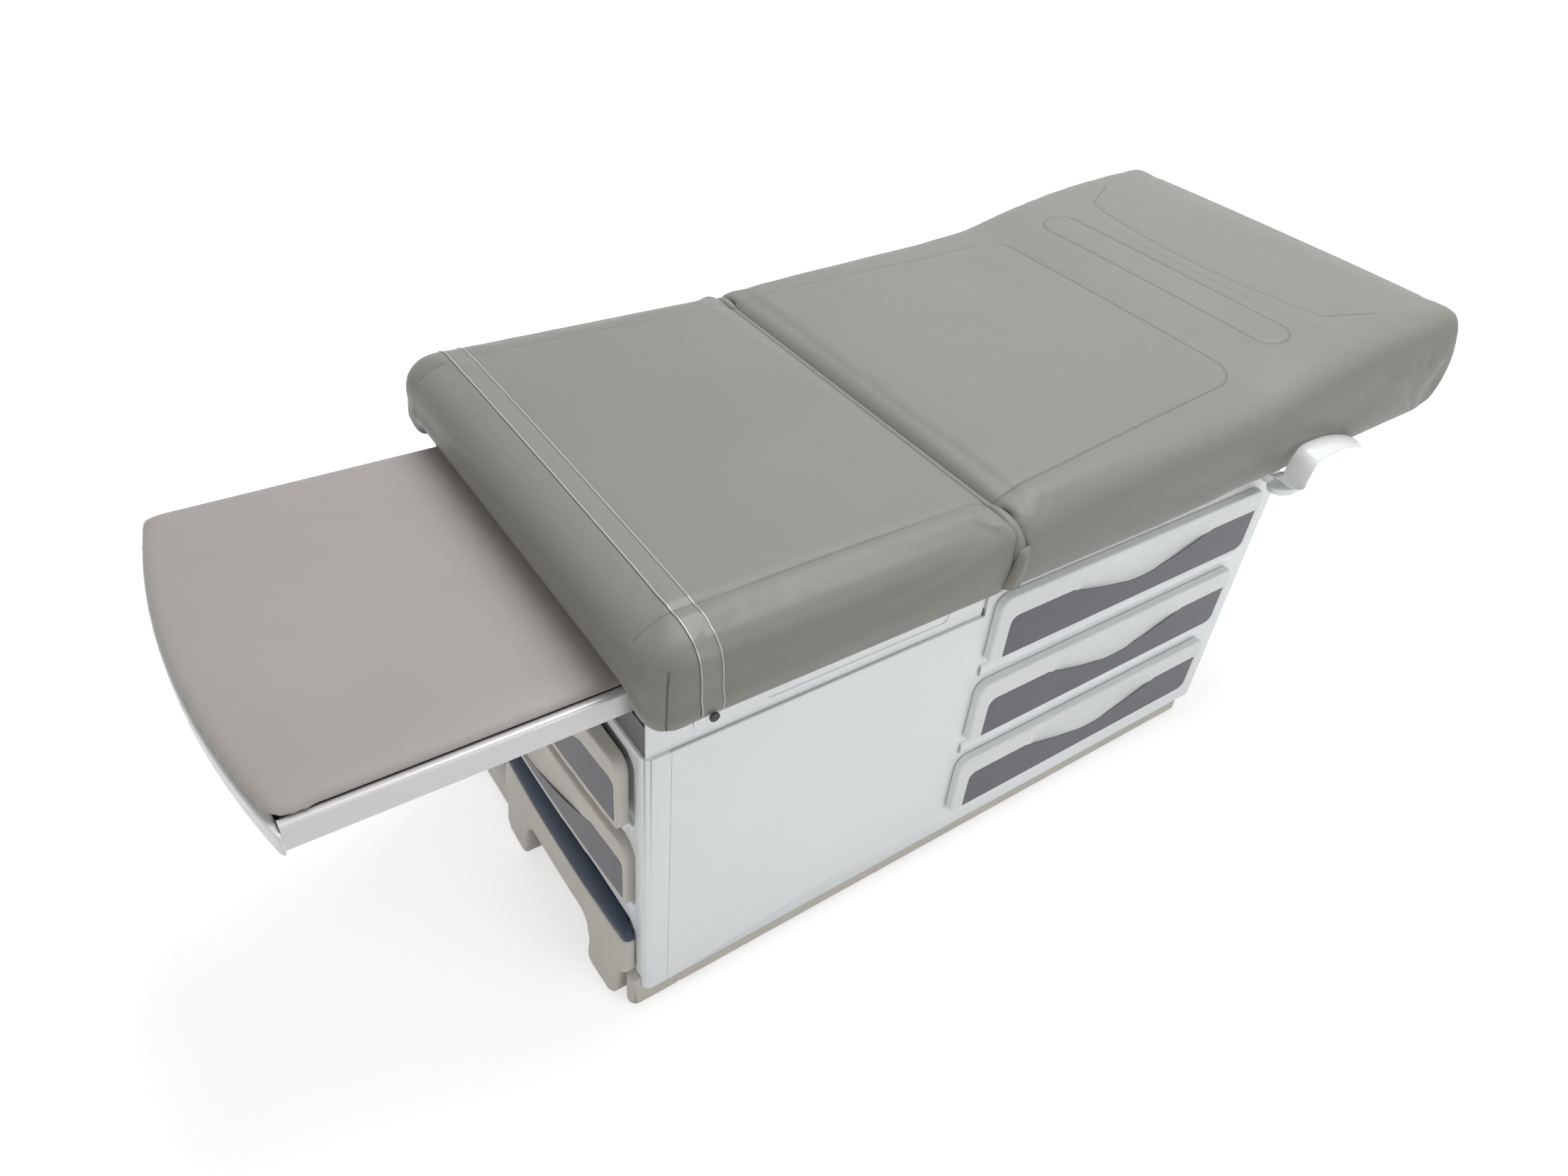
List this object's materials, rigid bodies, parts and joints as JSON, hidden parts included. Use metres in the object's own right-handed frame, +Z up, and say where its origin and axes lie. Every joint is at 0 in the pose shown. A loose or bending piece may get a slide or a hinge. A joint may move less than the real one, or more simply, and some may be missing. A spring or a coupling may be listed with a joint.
{
  "type": "examination table",
  "caption": "Box-base medical examination table with padded seat and tilting back, sliding leg rest, side and foot drawers and a pull-out step.",
  "frame": {"origin": "on the floor under the middle of the table's overall box, leg rest pulled out as pictured", "axes": "+X toward the head end, +Y toward the far side (the side drawers face -Y), +Z up"},
  "size_m": [1.837, 0.798, 0.783],
  "materials": {
    "seat_vinyl": "smooth taupe upholstery vinyl over foam, satin",
    "pad_vinyl": "smooth light taupe upholstery vinyl, satin",
    "white_paint": "fine satin powder coat",
    "white_moulding": "satin moulded plastic",
    "warm_moulding": "satin moulded plastic, warm grey white",
    "grey_inset": "smooth grey film panel",
    "dark_paint": "satin dark grey paint",
    "navy_rubber": "fine-textured moulded rubber",
    "silver_paint": "satin silver grey paint with a bright rolled edge",
    "steel": "plain zinc-plated steel",
    "black_steel": "black semi-gloss",
    "clear_vinyl": "clear flexible vinyl"
  },
  "bodies": {
    "base": {"plinth": "warm_moulding", "levelling_foot_1": "black_steel", "levelling_foot_2": "black_steel", "levelling_foot_3": "black_steel", "levelling_foot_4": "black_steel", "foot_frame": "white_paint", "near_side_panel": "white_paint", "far_side_panel": "white_paint", "head_panel": "white_paint", "bulkhead_foot": "steel", "bulkhead_head": "steel", "chassis": "white_paint", "foot_recess_plate": "dark_paint", "foot_drawer_rack_near": "steel", "foot_drawer_rack_far": "steel", "step_rail_near": "steel", "step_rail_far": "steel", "seat_pan": "steel", "seat_cushion": "seat_vinyl", "paper_strap": "clear_vinyl", "strap_snap_near": "black_steel", "strap_snap_far": "black_steel", "hinge_bracket_near": "steel", "hinge_bracket_far": "steel", "extension_rail_near": "steel", "extension_rail_far": "steel"},
    "back": {"back_pan": "steel", "back_cushion": "seat_vinyl", "paper_roll_holder": "steel", "hinge_arm_near": "steel", "hinge_arm_far": "steel"},
    "release_handle": {"release_shaft": "steel", "lever_boss_near": "white_moulding", "lever_boss_far": "white_moulding", "release_lever_near": "white_moulding", "release_lever_far": "white_moulding"},
    "spring_cylinder": {"gas_spring_cylinder": "black_steel"},
    "spring_rod": {"gas_spring_rod": "steel"},
    "leg_rest": {"extension_tray": "silver_paint", "extension_front_cap": "white_moulding", "extension_pad": "pad_vinyl"},
    "step": {"step_body": "warm_moulding", "step_tread": "navy_rubber"},
    "side_drawer_1": {"side_drawer_1_front": "white_moulding", "side_drawer_1_inset": "grey_inset", "side_drawer_1_box": "white_paint"},
    "side_drawer_2": {"side_drawer_2_front": "white_moulding", "side_drawer_2_inset": "grey_inset", "side_drawer_2_box": "white_paint"},
    "side_drawer_3": {"side_drawer_3_front": "white_moulding", "side_drawer_3_inset": "grey_inset", "side_drawer_3_box": "white_paint"},
    "foot_drawer_1": {"foot_drawer_1_front": "warm_moulding", "foot_drawer_1_inset": "grey_inset", "foot_drawer_1_box": "white_paint"},
    "foot_drawer_2": {"foot_drawer_2_front": "warm_moulding", "foot_drawer_2_inset": "grey_inset", "foot_drawer_2_box": "white_paint"}
  },
  "joints": [
    {"name": "back_tilt", "type": "hinge", "parent": "base", "child": "back", "pos_m": [-0.0495, 0, 0.68], "axis": [0, -1, 0], "range_deg": [0, 75]},
    {"name": "spring_swing", "type": "hinge", "parent": "base", "child": "spring_cylinder", "pos_m": [0.0125, 0, 0.55], "axis": [0, -1, 0], "range_deg": [0, 68.5]},
    {"name": "spring_extend", "type": "slide", "parent": "spring_cylinder", "child": "spring_rod", "axis": [0.993, 0, 0.1179], "range_m": [0, 0.17]},
    {"name": "back_release", "type": "hinge", "parent": "back", "child": "release_handle", "pos_m": [0.5125, 0, 0.582], "axis": [0, -1, 0], "range_deg": [0, 12], "stiffness_Nm_per_rad": 8, "springref_deg": -8.59},
    {"name": "leg_rest_slide", "type": "slide", "parent": "base", "child": "leg_rest", "axis": [1, 0, 0], "range_m": [0, 0.345]},
    {"name": "step_slide", "type": "slide", "parent": "base", "child": "step", "axis": [-1, 0, 0], "range_m": [0, 0.26]},
    {"name": "side_drawer_1_slide", "type": "slide", "parent": "base", "child": "side_drawer_1", "axis": [0, -1, 0], "range_m": [0, 0.4]},
    {"name": "side_drawer_2_slide", "type": "slide", "parent": "base", "child": "side_drawer_2", "axis": [0, -1, 0], "range_m": [0, 0.4]},
    {"name": "side_drawer_3_slide", "type": "slide", "parent": "base", "child": "side_drawer_3", "axis": [0, -1, 0], "range_m": [0, 0.4]},
    {"name": "foot_drawer_1_slide", "type": "slide", "parent": "base", "child": "foot_drawer_1", "axis": [-1, 0, 0], "range_m": [0, 0.34]},
    {"name": "foot_drawer_2_slide", "type": "slide", "parent": "base", "child": "foot_drawer_2", "axis": [-1, 0, 0], "range_m": [-0.009, 0.331]}
  ],
  "couplings": [
    {"joint": "spring_swing", "follows": "back_tilt", "ratio": 0.91209},
    {"joint": "spring_extend", "follows": "back_tilt", "m_per_rad": 0.12932}
  ]
}
